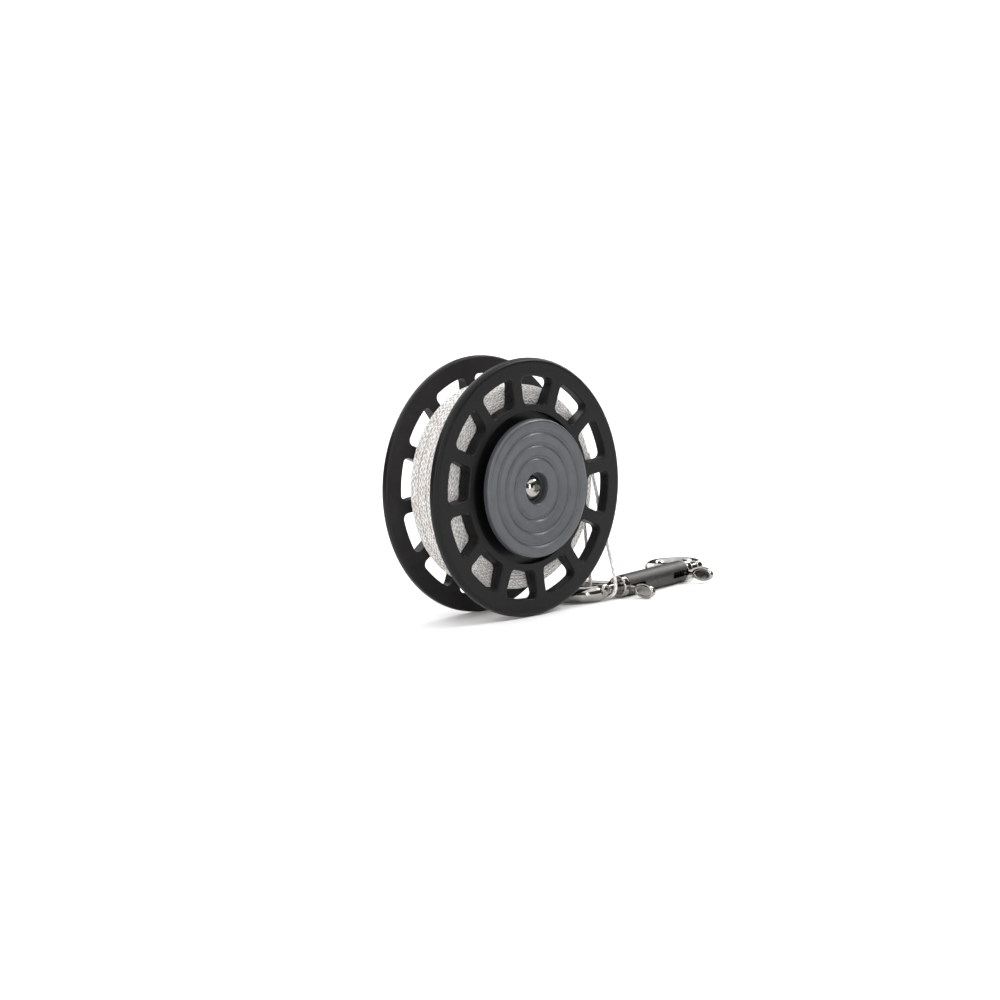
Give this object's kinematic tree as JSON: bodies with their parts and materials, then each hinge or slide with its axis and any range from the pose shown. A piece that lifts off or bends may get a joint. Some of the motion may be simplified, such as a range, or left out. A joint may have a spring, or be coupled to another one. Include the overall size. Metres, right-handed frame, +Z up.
{
  "type": "finger spool with line and snap hook",
  "caption": "Hand-held line spool with windowed flanges, free-spinning thumb discs, wound white braid and a double-ended snap hook.",
  "frame": {"origin": "on the ground under the middle of the spool, midway between its flanges", "axes": "+Y along the spool axis away from the front thumb disc, +Z up, +X towards the side where the line leaves"},
  "size_m": [0.2006, 0.0574, 0.12],
  "materials": {
    "flange": "satin moulded, near black",
    "disc": "satin moulded, slate grey",
    "bush": "machined acetal",
    "line": "braided polyester",
    "polished_steel": "polished stainless",
    "small_steel": "turned stainless",
    "barrel": "satin black coated tube"
  },
  "bodies": {
    "spool": {"front_flange": "flange", "rear_flange": "flange", "front_flange_screws": "small_steel", "rear_flange_screws": "small_steel", "front_bush": "bush", "rear_bush": "bush", "drum_core": "flange", "line_anchor_post": "small_steel", "wound_line": "line", "line_loop": "line", "line_splice": "line", "snap_barrel": "barrel", "snap_spring_seat": "small_steel", "snap_near_hook": "polished_steel", "snap_far_hook": "polished_steel", "snap_near_bolt_spring": "small_steel", "snap_far_bolt_spring": "small_steel"},
    "hub": {"front_thumb_disc": "disc", "rear_thumb_disc": "disc", "front_disc_screw": "polished_steel", "rear_disc_screw": "polished_steel", "axle": "small_steel", "front_thrust_washer": "bush", "rear_thrust_washer": "bush"},
    "near_gate": {"snap_near_bolt": "polished_steel", "snap_near_thumb_lever": "polished_steel"},
    "far_gate": {"snap_far_bolt": "polished_steel", "snap_far_thumb_lever": "polished_steel"}
  },
  "joints": [
    {"name": "hub_spin", "type": "hinge", "parent": "spool", "child": "hub", "pos_m": [0, 0, 0.06], "axis": [0, 1, 0], "continuous": true},
    {"name": "near_gate_slide", "type": "slide", "parent": "spool", "child": "near_gate", "axis": [0.9848, 0.1736, 0], "range_m": [0, 0.012], "stiffness_N_per_m": 300, "springref_m": -0.01, "deforming": ["snap_near_bolt_spring"]},
    {"name": "far_gate_slide", "type": "slide", "parent": "spool", "child": "far_gate", "axis": [-0.9848, -0.1736, 0], "range_m": [0, 0.012], "stiffness_N_per_m": 300, "springref_m": -0.01, "deforming": ["snap_far_bolt_spring"]}
  ]
}
